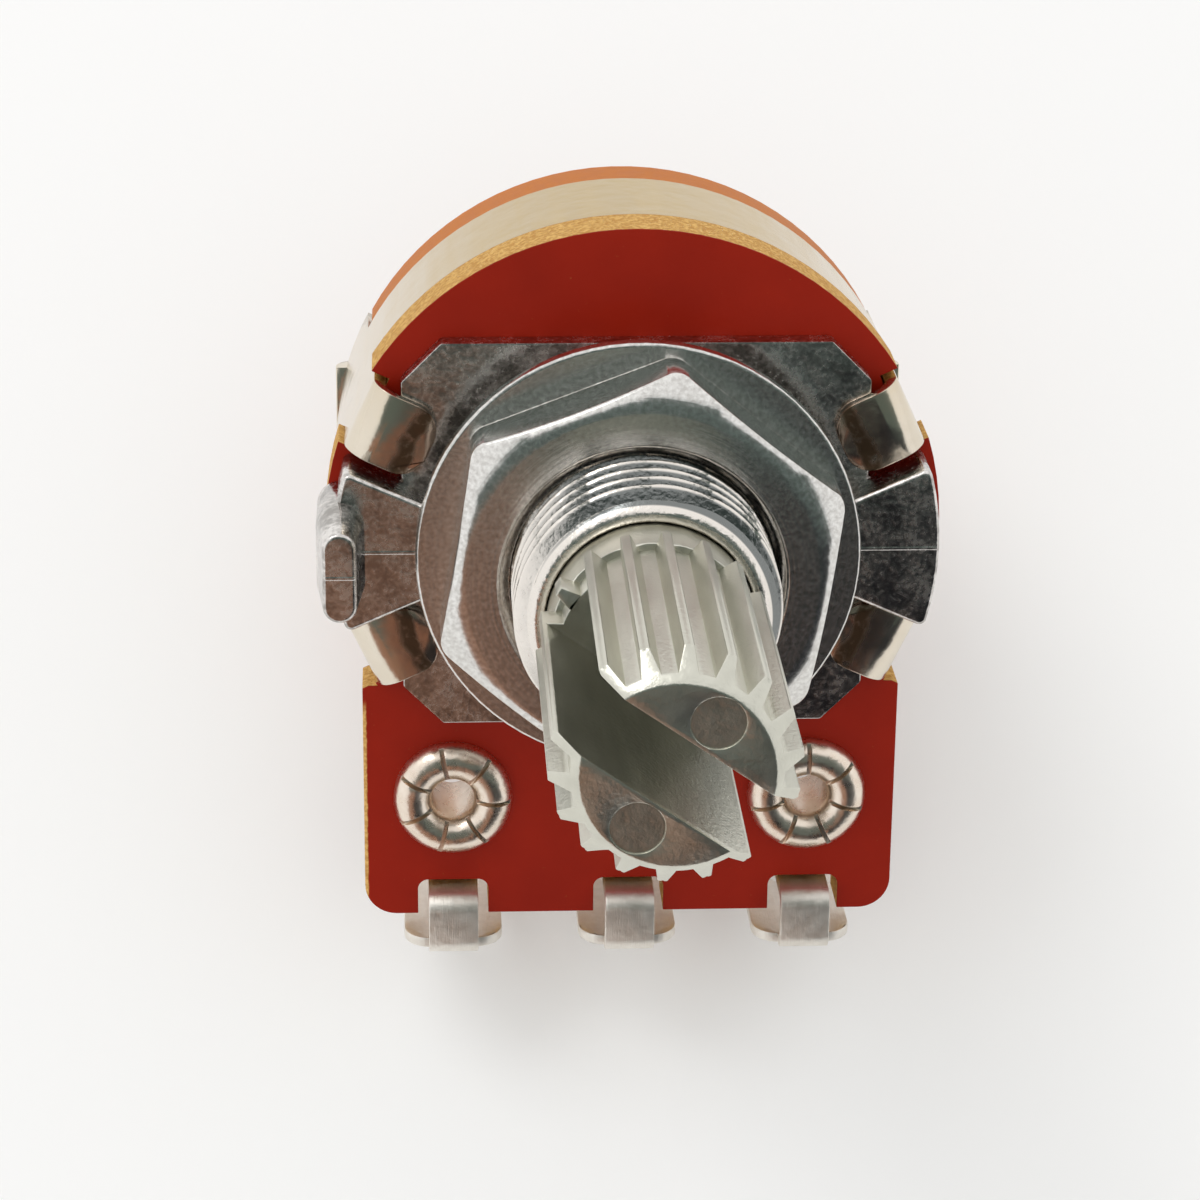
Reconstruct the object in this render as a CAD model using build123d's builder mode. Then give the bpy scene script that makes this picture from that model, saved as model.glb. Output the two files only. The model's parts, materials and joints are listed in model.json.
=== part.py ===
from build123d import *
import os
from math import asin, atan2, cos, degrees, hypot, radians, sin, sqrt, tan

os.makedirs("parts", exist_ok=True)

# Switched rotary potentiometer with a knurled, slotted shaft, in millimetres and degrees.
# The origin is where the shaft's axis meets the mounting surface of the bushing plate.
# +Z points out along the shaft, and the three terminals leave towards -Y.

# Shaft and its knurl
shaft_length = 15.0
journal_diameter = 5.36
knurl_diameter = 6.0
knurl_teeth = 18
knurl_root_diameter = 5.0
knurl_crest_width = 0.24
knurl_valley_width = 0.38
knurl_start_gap = 1.35
tip_diameter = 4.6
tip_chamfer_length = 0.7
slot_width = 1.7
slot_depth = 7.5
slot_angle = -35.0
ejector_mark_diameter = 1.3
ejector_mark_depth = 0.06
ejector_mark_radius = 1.6

# Turning of the shaft, counted from the pose that the shaft stands in here
turn_to_clockwise_stop = 116.0
turn_to_switch_stop = 184.0
stop_slack_angle = 0.8

# Bushing plate, one zinc casting
bushing_diameter = 7.0
bushing_length = 5.3
bushing_chamfer = 0.45
flange_width = 12.7
flange_margin = 0.1
flange_corner = 1.1
flange_thickness = 0.65
saddle_height = 1.25
saddle_diameter = 10.8
saddle_edge_round = 0.12
wing_inset = 0.05
wing_tip_half_width = 2.3
wing_root_half_width = 0.69
wing_corner_round = 0.2
lug_height = 1.95
lug_width = 2.9
lug_thickness = 1.3
lug_overhang = 0.45
lug_draft_angle = 6.0
lug_edge_round = 0.12

# Washer and nut
washer_diameter = 12.0
washer_hole_diameter = 7.2
washer_thickness = 0.5
washer_edge_chamfer = 0.06
nut_across_flats = 10.0
nut_thickness = 2.0
nut_turned = 21.0
nut_face_diameter = 9.3
nut_chamfer_angle = 30.0
nut_corner_round = 0.6
nut_lead_in = 0.3

# Front board with the resistance track
board_overhang = 0.2
board_thickness = 1.6
board_leg_width = 15.0
board_leg_bottom = 11.65
board_shoulder = 4.63
board_corner_radius = 0.9
board_hole_diameter = 6.8
terminal_pitch = 5.0
notch_width = 2.0
notch_height = 1.05
notch_round = 0.3
track_thickness = 0.1
track_inner_diameter = 10.4
track_width = 1.6
track_gap_angle = 60.0
pad_diameter = 3.5

# Terminals and their rivets
terminal_thickness = 0.3
terminal_neck_width = 1.4
terminal_blade_width = 2.8
terminal_front_reach = 0.9
terminal_setting_gap = 0.2
terminal_drop = 1.8
terminal_bend_radius = 0.32
terminal_blade_start = 0.6
terminal_blade_length = 5.4
terminal_tip_round = 0.8
eyelet_diameter = 1.2
eyelet_from_tip = 1.5
eye_diameter = 3.4
collector_inner_diameter = 6.6
collector_outer_diameter = 9.0
rivet_drop = 8.0
rivet_hole_diameter = 1.2
rivet_wall = 0.25
rivet_head_diameter = 3.0
rivet_head_thickness = 0.3
rosette_diameter = 3.34
rosette_height = 0.62
rosette_slits = 7
rosette_slit_width = 0.13
rosette_slit_depth = 0.3
rosette_shoulder = 0.72
rosette_throat = 0.28
left_slit_angle = 50.0
right_slit_angle = 38.0

# Housing can, drawn from tinned steel sheet
can_diameter = 16.5
can_wall = 0.35
can_depth = 4.7
claw_angle = 25.0
claw_width = 2.0
claw_tip_radius = 6.15
claw_bend_radius = 0.6
claw_tip_round = 0.75
ear_tab_round = 0.45
ear_span_angle = 56.0
ear_tab_width = 4.6
ear_tab_reach = 1.5
fold_inner_radius = 0.15
terminal_window_angle = 92.0
terminal_window_height = 1.1
stop_tab_width = 2.2
stop_tab_reach = 0.55
stop_tab_height = 1.0

# Rear board with the switch
switch_board_inset = 0.05
switch_board_thickness = 1.6
switch_pitch = 6.4
switch_inset = 3.3
lug_sheet_thickness = 0.3
lug_strip_width = 2.4
lug_blade_length = 3.9
lug_blade_drop = 1.6
switch_rivet_hole_diameter = 0.8
switch_rivet_wall = 0.25
switch_rivet_head_diameter = 2.0
switch_rivet_head_thickness = 0.32
contact_thickness = 0.2
contact_foot_width = 2.2
contact_foot_length = 2.6
contact_post_height = 1.6
contact_post_width = 1.1
leaf_thickness = 0.15
leaf_height = 1.0
leaf_dip = 1.55
leaf_dip_width = 2.2
leaf_bend_radius = 0.4

# Rotor, wiper and what keeps the shaft in
rotor_side_gap = 0.7
rotor_thickness = 1.2
rotor_hub_diameter = 6.6
rotor_hub_height = 0.6
rotor_set_back = 1.4
stop_lug_gap = 0.2
tang_diameter = 4.0
tang_flats = 3.0
stake_diameter = 4.4
stake_height = 0.4
cam_pin_diameter = 1.0
cam_pin_length = 1.2
cam_pin_lift = 0.15
brush_thickness = 0.15
brush_finger_width = 0.8
brush_finger_length = 2.3
brush_contact_length = 0.55
brush_plate_angle = 34.0
ring_thickness = 0.4
ring_diameter = 6.4
ring_groove_depth = 0.43
ring_opening_angle = 80.0

# Clearances
running_gap = 0.04
fixed_gap = 0.02
sheet_gap = 0.05
claw_side_gap = 0.1

# Levels along the axis that follow from the sizes above
board_front = -(flange_thickness + saddle_height)
flange_front = -saddle_height
board_rear = board_front - board_thickness
track_face = board_rear - track_thickness
terminal_rear = track_face - terminal_thickness
can_rear = board_rear - can_depth
switch_rear = can_rear - switch_board_thickness
rotor_front = board_rear - rotor_set_back
rotor_rear = rotor_front - rotor_thickness
hub_front = rotor_front + rotor_hub_height
nut_front = washer_thickness + nut_thickness
knurl_start = bushing_length + knurl_start_gap

# Radii that follow
can_radius = can_diameter / 2
can_bore = can_radius - can_wall
board_radius = can_radius + board_overhang
wing_radius = can_radius - wing_inset
notch_floor_radius = can_bore - sheet_gap
rotor_radius = can_bore - rotor_side_gap
journal_radius = journal_diameter / 2
bushing_bore = journal_radius + running_gap
rivet_radius = rivet_hole_diameter / 2 + rivet_wall
switch_rivet_radius = switch_rivet_hole_diameter / 2 + switch_rivet_wall
collector_mid_radius = (collector_inner_diameter + collector_outer_diameter) / 4
track_mid_radius = (track_inner_diameter + track_width) / 2
track_outer_radius = track_inner_diameter / 2 + track_width
track_end_x = track_mid_radius * sin(radians(track_gap_angle / 2))
track_end_y = -track_mid_radius * cos(radians(track_gap_angle / 2))

# Turning places that follow
turn_range = turn_to_clockwise_stop + turn_to_switch_stop
stop_tab_half_angle = degrees(asin(stop_tab_width / (2 * (can_bore - stop_tab_reach))))
stop_lug_half_angle = (360 - turn_range) / 2 - stop_tab_half_angle - stop_slack_angle
rotor_angle = 90 + turn_range / 2 - turn_to_switch_stop
claw_angles = (claw_angle, 180 - claw_angle, 180 + claw_angle, -claw_angle)
terminal_columns = (-terminal_pitch, 0, terminal_pitch)
switch_columns = (-switch_pitch / 2, switch_pitch / 2)

# Plan of the switch leaf, which runs beside the feet of both switch contacts
switch_rise = can_bore - switch_inset
contact_outer_y = switch_rise + contact_foot_length / 2
leaf_y = contact_outer_y + leaf_thickness / 2
post_inner_x = switch_pitch / 2 + contact_foot_width / 2 - contact_post_width
leaf_dip_x = post_inner_x - leaf_dip_width / 2
cam_radius = hypot(leaf_dip_x, leaf_y - leaf_dip) - cam_pin_lift
cam_pin_angle = degrees(atan2(leaf_y - leaf_dip, leaf_dip_x)) - turn_to_switch_stop


def radial_plane(angle):
    """A plane through the shaft's axis, with its X pointing outwards and its Y along +Z."""
    along = radians(angle)
    return Plane(origin=(0, 0, 0), x_dir=(cos(along), sin(along), 0), z_dir=(sin(along), -cos(along), 0))


def side_plane(x):
    """A plane across X, with its X along +Y and its Y along +Z, for sheet bent in profile."""
    return Plane(origin=(x, 0, 0), x_dir=(0, 1, 0), z_dir=(1, 0, 0))


def sector(inner, outer, middle, span):
    """Adds a ring sector to the open sketch, from radius inner to outer."""
    with BuildLine() as outline:
        CenterArc((0, 0), inner, middle - span / 2, span)
        CenterArc((0, 0), outer, middle - span / 2, span)
        for edge in (middle - span / 2, middle + span / 2):
            Line((inner * cos(radians(edge)), inner * sin(radians(edge))),
                 (outer * cos(radians(edge)), outer * sin(radians(edge))))
    make_face(outline.edges())


# Bushing plate: octagonal flange, saddle with two wings, locating lug and bushing
wing_tip_x = sqrt(wing_radius**2 - wing_tip_half_width**2)
wing_root_x = saddle_diameter / 2 - wing_tip_half_width / 2
wing_flare = (wing_tip_half_width - wing_root_half_width) / (wing_tip_x - wing_root_x)
wing_over_x = wing_radius + wing_tip_half_width
wing_over_half_width = wing_tip_half_width + (wing_over_x - wing_tip_x) * wing_flare
lug_x = wing_radius + lug_overhang - lug_thickness / 2

with BuildPart() as bushing_plate:
    with BuildSketch(Plane.XY.offset(board_front)):
        Rectangle(flange_width, saddle_diameter + 2 * flange_margin)
        chamfer(vertices(), flange_corner)
    extrude(amount=flange_thickness)
    with BuildSketch(Plane.XY.offset(board_front)):
        for side in (1, -1):
            with BuildLine():
                Polyline((side * wing_root_x, -wing_root_half_width),
                         (side * wing_over_x, -wing_over_half_width),
                         (side * wing_over_x, wing_over_half_width),
                         (side * wing_root_x, wing_root_half_width),
                         close=True)
            make_face()
        Circle(wing_radius, mode=Mode.INTERSECT)
        Circle(saddle_diameter / 2)
        fillet(vertices(), wing_corner_round)
    extrude(amount=-board_front)
    saddle_rim = faces().sort_by(Axis.Z)[-1].outer_wire().edges()
    fillet(saddle_rim, saddle_edge_round)
    with BuildSketch(Plane.XY) as lug_root:
        with Locations((-lug_x, 0)):
            SlotOverall(lug_width, lug_thickness, rotation=90)
    extrude(amount=board_front)
    extrude(lug_root.sketch, amount=lug_height, taper=lug_draft_angle)
    lug_rim = faces().sort_by(Axis.Z)[-1].outer_wire().edges()
    fillet(lug_rim, lug_edge_round)
    with BuildSketch(Plane.XY):
        Circle(bushing_diameter / 2)
    extrude(amount=bushing_length)
    bushing_rim = faces().sort_by(Axis.Z)[-1].edges()
    chamfer(bushing_rim, bushing_chamfer)
    Hole(bushing_bore)
bushing_plate.part.label = "bushing_plate"
export_step(bushing_plate.part, "parts/bushing_plate.step")

# Flat washer on the mounting surface
with BuildPart() as flat_washer:
    with BuildSketch(Plane.XY):
        Circle(washer_diameter / 2)
        Circle(washer_hole_diameter / 2, mode=Mode.SUBTRACT)
    extrude(amount=washer_thickness)
    chamfer(edges().filter_by(GeomType.CIRCLE), washer_edge_chamfer)
flat_washer.part.label = "flat_washer"
export_step(flat_washer.part, "parts/flat_washer.step")

# Hexagon nut, turned from bar and chamfered on the front by a cone
nut_corner = nut_across_flats / (2 * cos(radians(30)))
nut_face_radius = nut_face_diameter / 2
nut_cone_drop = (nut_corner + nut_lead_in - nut_face_radius) * tan(radians(nut_chamfer_angle))

with BuildPart() as mounting_nut:
    with BuildSketch(Plane.XY.offset(washer_thickness)):
        RegularPolygon(nut_across_flats / 2, 6, major_radius=False, rotation=nut_turned)
        fillet(vertices(), nut_corner_round)
    extrude(amount=nut_thickness)
    with BuildSketch(Plane.XZ):
        with BuildLine():
            Polyline((0, washer_thickness),
                     (nut_corner + nut_lead_in, washer_thickness),
                     (nut_corner + nut_lead_in, nut_front - nut_cone_drop),
                     (nut_face_radius, nut_front),
                     (0, nut_front),
                     close=True)
        make_face()
    revolve(axis=Axis.Z, mode=Mode.INTERSECT)
    Hole(bushing_diameter / 2 + fixed_gap)
    nut_mouth = edges().filter_by(GeomType.CIRCLE).group_by(Axis.Z)[-1].sort_by(SortBy.RADIUS)[0]
    chamfer(nut_mouth, nut_lead_in)
mounting_nut.part.label = "mounting_nut"
export_step(mounting_nut.part, "parts/mounting_nut.step")

# Front board of paper phenolic: round head, square leg, claw slots and terminal notches
with BuildPart() as terminal_board:
    with BuildSketch(Plane.XY.offset(board_rear)):
        leg_height = board_leg_bottom - board_shoulder
        with Locations((0, -board_shoulder - leg_height / 2)):
            Rectangle(board_leg_width, leg_height)
        fillet(vertices().group_by(Axis.Y)[0], board_corner_radius)
        Circle(board_radius)
        Circle(board_hole_diameter / 2, mode=Mode.SUBTRACT)
        for angle in claw_angles:
            with PolarLocations(notch_floor_radius + claw_width, 1, angle):
                Rectangle(2 * claw_width, claw_width + 2 * claw_side_gap, mode=Mode.SUBTRACT)
        with Locations(*[(x, -rivet_drop) for x in (-terminal_pitch, terminal_pitch)]):
            Circle(rivet_radius + fixed_gap, mode=Mode.SUBTRACT)
        with Locations(*[(x, -board_leg_bottom) for x in terminal_columns]):
            RectangleRounded(notch_width, 2 * notch_height, notch_round, mode=Mode.SUBTRACT)
    extrude(amount=board_thickness)
terminal_board.part.label = "terminal_board"
export_step(terminal_board.part, "parts/terminal_board.step")

# Carbon track, a horseshoe printed on the rear of the front board
with BuildPart() as carbon_track:
    with BuildSketch(Plane.XY.offset(track_face)):
        sector(track_inner_diameter / 2, track_outer_radius, 90, 360 - track_gap_angle)
    extrude(amount=track_thickness)
carbon_track.part.label = "carbon_track"
export_step(carbon_track.part, "parts/carbon_track.step")

# Silver pads that join the track's ends to the end terminals
with BuildPart() as silver_pads:
    with BuildSketch(Plane.XY.offset(track_face)):
        lead_length = hypot(terminal_pitch - track_end_x, rivet_drop + track_end_y)
        for side in (1, -1):
            lead_turn = degrees(atan2(-rivet_drop - track_end_y, side * (terminal_pitch - track_end_x)))
            with Locations((side * (terminal_pitch + track_end_x) / 2, (track_end_y - rivet_drop) / 2)):
                Rectangle(lead_length, terminal_neck_width, rotation=lead_turn)
            with Locations((side * terminal_pitch, -rivet_drop)):
                Circle(pad_diameter / 2)
        with BuildSketch(mode=Mode.SUBTRACT):
            sector(collector_mid_radius, track_outer_radius, 90, 360 - track_gap_angle)
        with Locations(*[(x, -rivet_drop) for x in (-terminal_pitch, terminal_pitch)]):
            Circle(rivet_radius + fixed_gap, mode=Mode.SUBTRACT)
    extrude(amount=track_thickness)
silver_pads.part.label = "silver_pads"
export_step(silver_pads.part, "parts/silver_pads.step")

# Terminals: an eye or ring on the board's rear, a neck through the notch, and a blade
terminal_mid = track_face - terminal_thickness / 2
neck_y = -(board_leg_bottom - notch_height + terminal_setting_gap + terminal_thickness / 2)
front_z = board_front + terminal_front_reach - terminal_thickness / 2
blade_y = neck_y - terminal_drop + terminal_thickness
blade_from = board_front + terminal_front_reach - terminal_blade_start
blade_to = blade_from - terminal_blade_length
eyelet_z = blade_to + eyelet_from_tip


def bent_terminal(x, start_y):
    """Adds the neck, the hump in front of the board and the blade, starting at height start_y."""
    with BuildSketch(side_plane(x)) as strip:
        with BuildLine():
            FilletPolyline((start_y, terminal_mid), (neck_y, terminal_mid), (neck_y, front_z),
                           (blade_y, front_z), (blade_y, blade_to + terminal_tip_round),
                           radius=terminal_bend_radius)
        trace(line_width=terminal_thickness)
    extrude(strip.sketch, amount=terminal_neck_width / 2, both=True)
    blade_plane = Plane(origin=(x, blade_y - terminal_thickness / 2, (blade_from + blade_to) / 2),
                        x_dir=(1, 0, 0), z_dir=(0, 1, 0))
    with BuildSketch(blade_plane) as blade:
        RectangleRounded(terminal_blade_width, blade_from - blade_to, terminal_tip_round)
    extrude(blade.sketch, amount=terminal_thickness)
    with Locations(Plane(origin=(x, blade_y, eyelet_z), z_dir=(0, 1, 0))):
        Cylinder(eyelet_diameter / 2, 2 * terminal_thickness, mode=Mode.SUBTRACT)


for end_name, x in (("end_terminal_left", -terminal_pitch), ("end_terminal_right", terminal_pitch)):
    with BuildPart() as end_terminal:
        bent_terminal(x, -rivet_drop)
        with BuildSketch(Plane.XY.offset(terminal_rear)):
            with Locations((x, -rivet_drop)):
                Circle(eye_diameter / 2)
        extrude(amount=terminal_thickness)
        with BuildSketch(Plane.XY.offset(terminal_rear)):
            with Locations((x, -rivet_drop)):
                Circle(rivet_radius + fixed_gap)
        extrude(amount=terminal_thickness, mode=Mode.SUBTRACT)
    end_terminal.part.label = end_name
    export_step(end_terminal.part, "parts/" + end_name + ".step")

with BuildPart() as wiper_terminal:
    bent_terminal(0, -collector_mid_radius)
    with BuildSketch(Plane.XY.offset(terminal_rear)):
        Circle(collector_outer_diameter / 2)
    extrude(amount=terminal_thickness)
    with BuildSketch(Plane.XY.offset(terminal_rear)):
        Circle(collector_inner_diameter / 2)
    extrude(amount=terminal_thickness, mode=Mode.SUBTRACT)
wiper_terminal.part.label = "wiper_terminal"
export_step(wiper_terminal.part, "parts/wiper_terminal.step")

# Hollow rivets, rolled over in front of the board into a rosette that splits as it spreads
rosette_top = board_front + rosette_height
rosette_radius = rosette_diameter / 2
rivet_bore = rivet_hole_diameter / 2
crown_radius = (rivet_bore + rosette_radius) / 2
shoulder_radius = crown_radius + (rosette_radius - crown_radius) * rosette_shoulder
throat_radius = rivet_bore + (crown_radius - rivet_bore) * rosette_throat
shoulder_z = board_front + rosette_height * rosette_shoulder
rivet_foot = terminal_rear - rivet_head_thickness

for rivet_name, x, slit_angle in (("terminal_rivet_left", -terminal_pitch, left_slit_angle),
                                  ("terminal_rivet_right", terminal_pitch, right_slit_angle)):
    with BuildPart() as terminal_rivet:
        with BuildSketch(Plane(origin=(x, -rivet_drop, 0), x_dir=(1, 0, 0), z_dir=(0, -1, 0))):
            with BuildLine():
                Polyline((rivet_bore, board_front), (rivet_bore, rivet_foot),
                         (rivet_head_diameter / 2, rivet_foot), (rivet_head_diameter / 2, terminal_rear),
                         (rivet_radius, terminal_rear), (rivet_radius, board_front),
                         (rosette_radius, board_front))
                ThreePointArc((rosette_radius, board_front), (shoulder_radius, shoulder_z),
                              (crown_radius, rosette_top))
                ThreePointArc((crown_radius, rosette_top), (throat_radius, shoulder_z),
                              (rivet_bore, board_front))
            make_face()
        revolve(axis=Axis((x, -rivet_drop, 0), (0, 0, 1)))
        with BuildSketch(Plane.XY.offset(rosette_top - rosette_slit_depth)):
            with Locations((x, -rivet_drop)):
                with PolarLocations(rosette_radius, rosette_slits, slit_angle):
                    Rectangle(rosette_diameter - 2 * rivet_bore, rosette_slit_width)
        extrude(amount=rosette_slit_depth + rosette_height, mode=Mode.SUBTRACT)
    terminal_rivet.part.label = rivet_name
    export_step(terminal_rivet.part, "parts/" + rivet_name + ".step")

# Housing can: a drawn ring with four front claws, two rear ears and a stop tab
sheet_mid_radius = can_radius - can_wall / 2
claw_mid = flange_front + can_wall / 2
ear_fold_mid = switch_rear - can_wall / 2
stop_tab_rear = rotor_rear + (rotor_thickness - stop_tab_height) / 2


def is_claw_corner(edge):
    """Whether an upright edge is at the tip of a claw, in front of the board."""
    middle = edge.center()
    return middle.Z > board_front and hypot(middle.X, middle.Y) < claw_tip_radius + claw_width / 2


def is_tab_corner(edge):
    """Whether an upright edge is at the tip of an ear's tab, behind the rear board."""
    middle = edge.center()
    return middle.Z < switch_rear and abs(middle.X) < can_bore - ear_tab_reach + can_wall


with BuildPart() as housing_can:
    with BuildSketch(Plane.XY.offset(can_rear)):
        Circle(can_radius)
        Circle(can_bore, mode=Mode.SUBTRACT)
    extrude(amount=can_depth)
    with BuildSketch(Plane.XY.offset(board_rear - terminal_window_height)):
        sector(can_bore - can_wall, can_radius + can_wall, -90, terminal_window_angle)
    extrude(amount=terminal_window_height, mode=Mode.SUBTRACT)
    with BuildSketch(Plane.XY.offset(switch_rear)):
        for middle in (0, 180):
            sector(can_bore, can_radius, middle, ear_span_angle)
    extrude(amount=switch_board_thickness)
    for angle in claw_angles:
        with BuildSketch(radial_plane(angle)):
            with BuildLine():
                FilletPolyline((sheet_mid_radius, board_rear - claw_width / 2),
                               (sheet_mid_radius, claw_mid), (claw_tip_radius, claw_mid),
                               radius=claw_bend_radius)
            trace(line_width=can_wall)
        extrude(amount=claw_width / 2, both=True)
    for angle in (0, 180):
        with BuildSketch(radial_plane(angle)):
            with BuildLine():
                FilletPolyline((sheet_mid_radius, switch_rear + can_wall),
                               (sheet_mid_radius, ear_fold_mid),
                               (can_bore - ear_tab_reach, ear_fold_mid),
                               radius=fold_inner_radius + can_wall / 2)
            trace(line_width=can_wall)
        extrude(amount=ear_tab_width / 2, both=True)
    with BuildSketch(Plane.XY.offset(stop_tab_rear)):
        with Locations((0, -(can_bore - stop_tab_reach / 2) - can_wall / 4)):
            Rectangle(stop_tab_width, stop_tab_reach + can_wall / 2)
    extrude(amount=stop_tab_height)
    fillet(edges().filter_by(Axis.Z).filter_by(is_claw_corner), claw_tip_round)
    fillet(edges().filter_by(Axis.Z).filter_by(is_tab_corner), ear_tab_round)
housing_can.part.label = "housing_can"
export_step(housing_can.part, "parts/housing_can.step")

# Rear board of paper phenolic, which closes the can and carries the switch
with BuildPart() as switch_board:
    with BuildSketch(Plane.XY.offset(switch_rear)):
        Circle(can_radius - switch_board_inset)
        with BuildSketch(mode=Mode.SUBTRACT):
            for middle in (0, 180):
                sector(can_bore - fold_inner_radius - sheet_gap, can_radius + can_wall, middle,
                       ear_span_angle + 2 * degrees(claw_side_gap / can_bore))
        with Locations(*[(x, switch_rise) for x in switch_columns]):
            Circle(switch_rivet_radius + fixed_gap, mode=Mode.SUBTRACT)
    extrude(amount=switch_board_thickness)
switch_board.part.label = "switch_board"
export_step(switch_board.part, "parts/switch_board.step")

# Switch lugs, bent from sheet so that a wire can be soldered behind the can
lug_mid = switch_rear - lug_sheet_thickness / 2
lug_blade_y = switch_rise - lug_blade_drop
lug_tip = switch_rear - lug_blade_length
lug_eyelet_z = lug_tip + lug_strip_width / 2

for lug_name, x in (("switch_lug_left", switch_columns[0]), ("switch_lug_right", switch_columns[1])):
    with BuildPart() as switch_lug:
        with BuildSketch(side_plane(x)):
            with BuildLine():
                FilletPolyline((switch_rise + lug_strip_width / 2, lug_mid), (lug_blade_y, lug_mid),
                               (lug_blade_y, lug_tip), radius=lug_sheet_thickness)
            trace(line_width=lug_sheet_thickness)
        extrude(amount=lug_strip_width / 2, both=True)
        with Locations(Plane(origin=(x, lug_blade_y, lug_eyelet_z), z_dir=(0, 1, 0))):
            Cylinder(eyelet_diameter / 2, 2 * lug_sheet_thickness, mode=Mode.SUBTRACT)
        with Locations((x, switch_rise, lug_mid)):
            Cylinder(switch_rivet_radius + fixed_gap, 2 * lug_sheet_thickness, mode=Mode.SUBTRACT)
        lug_corners = edges().filter_by(Axis.Y).group_by(Axis.Z)[0]
        fillet(lug_corners, lug_strip_width / 2 - lug_sheet_thickness)
        foot_corners = edges().filter_by(Axis.Z).group_by(Axis.Y)[-1]
        fillet(foot_corners, lug_strip_width / 2 - lug_sheet_thickness)
    switch_lug.part.label = lug_name
    export_step(switch_lug.part, "parts/" + lug_name + ".step")

# Fixed contact: a foot under the right rivet and a post that the leaf rests on
foot_mid = can_rear + contact_thickness / 2
post_y = contact_outer_y - contact_thickness / 2
foot_inner_y = switch_rise - contact_foot_length / 2

with BuildPart() as fixed_contact:
    with BuildSketch(side_plane(switch_columns[1])):
        with BuildLine():
            FilletPolyline((foot_inner_y, foot_mid), (post_y, foot_mid),
                           (post_y, can_rear + contact_post_height), radius=contact_thickness)
        trace(line_width=contact_thickness)
    extrude(amount=contact_foot_width / 2, both=True)
    with BuildSketch(Plane.XY.offset(can_rear + contact_thickness + fixed_gap)):
        with Locations((post_inner_x - contact_foot_width / 2, post_y)):
            Rectangle(contact_foot_width, contact_foot_length)
    extrude(amount=contact_post_height, mode=Mode.SUBTRACT)
    with Locations((switch_columns[1], switch_rise, foot_mid)):
        Cylinder(switch_rivet_radius + fixed_gap, 2 * contact_thickness, mode=Mode.SUBTRACT)
fixed_contact.part.label = "fixed_contact"
export_step(fixed_contact.part, "parts/fixed_contact.step")

# Switch leaf: a spring strip on edge, with a dip that the rotor's pin lifts at the last few degrees
leaf_foot_mid = can_rear + leaf_thickness / 2
leaf_bottom = can_rear + contact_thickness + switch_rivet_head_thickness + sheet_gap
leaf_left_x = switch_columns[0] - contact_foot_width / 2
leaf_right_x = switch_columns[1] + contact_foot_width / 2

with BuildPart() as switch_leaf:
    with BuildSketch(side_plane(switch_columns[0])):
        with BuildLine():
            FilletPolyline((foot_inner_y, leaf_foot_mid), (leaf_y, leaf_foot_mid),
                           (leaf_y, leaf_bottom + leaf_height), radius=leaf_thickness)
        trace(line_width=leaf_thickness)
    extrude(amount=contact_foot_width / 2, both=True)
    with BuildSketch(Plane.XY.offset(leaf_bottom)):
        with BuildLine():
            FilletPolyline((leaf_left_x, leaf_y), (leaf_dip_x - leaf_dip_width / 2, leaf_y),
                           (leaf_dip_x, leaf_y - leaf_dip), (leaf_dip_x + leaf_dip_width / 2, leaf_y),
                           (leaf_right_x, leaf_y), radius=leaf_bend_radius)
        trace(line_width=leaf_thickness)
    extrude(amount=leaf_height)
    with Locations((switch_columns[0], switch_rise, leaf_foot_mid)):
        Cylinder(switch_rivet_radius + fixed_gap, 2 * leaf_thickness, mode=Mode.SUBTRACT)
switch_leaf.part.label = "switch_leaf"
export_step(switch_leaf.part, "parts/switch_leaf.step")

# Switch rivets, which clamp each contact, the rear board and its lug together
for rivet_name, x, foot in (("switch_rivet_left", switch_columns[0], leaf_thickness),
                            ("switch_rivet_right", switch_columns[1], contact_thickness)):
    inner_face = can_rear + foot
    outer_face = switch_rear - lug_sheet_thickness
    head_radius = switch_rivet_head_diameter / 2
    with BuildPart() as switch_rivet:
        with BuildSketch(Plane(origin=(x, switch_rise, 0), x_dir=(1, 0, 0), z_dir=(0, -1, 0))):
            with BuildLine():
                Polyline((0, inner_face + switch_rivet_head_thickness),
                         (head_radius - switch_rivet_wall, inner_face + switch_rivet_head_thickness),
                         (head_radius, inner_face), (switch_rivet_radius, inner_face),
                         (switch_rivet_radius, outer_face), (head_radius, outer_face),
                         (head_radius - switch_rivet_wall, outer_face - switch_rivet_head_thickness),
                         (switch_rivet_hole_diameter / 2, outer_face - switch_rivet_head_thickness),
                         (switch_rivet_hole_diameter / 2, outer_face),
                         (0, outer_face), close=True)
            make_face()
        revolve(axis=Axis((x, switch_rise, 0), (0, 0, 1)))
    switch_rivet.part.label = rivet_name
    export_step(switch_rivet.part, "parts/" + rivet_name + ".step")

# Shaft: journal, groove for its ring, tang for the rotor, and the knurled and slotted end
crest_radius = knurl_diameter / 2
tip_radius = tip_diameter / 2
ring_face = board_front - running_gap
groove_radius = journal_radius - ring_groove_depth
cone_start = shaft_length - tip_chamfer_length
root_radius = knurl_root_diameter / 2
tooth_foot = knurl_root_diameter * sin(radians(180 / knurl_teeth)) - knurl_valley_width
tooth_foot_x = sqrt(root_radius**2 - tooth_foot**2 / 4)
stake_rear = rotor_rear - stake_height

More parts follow.
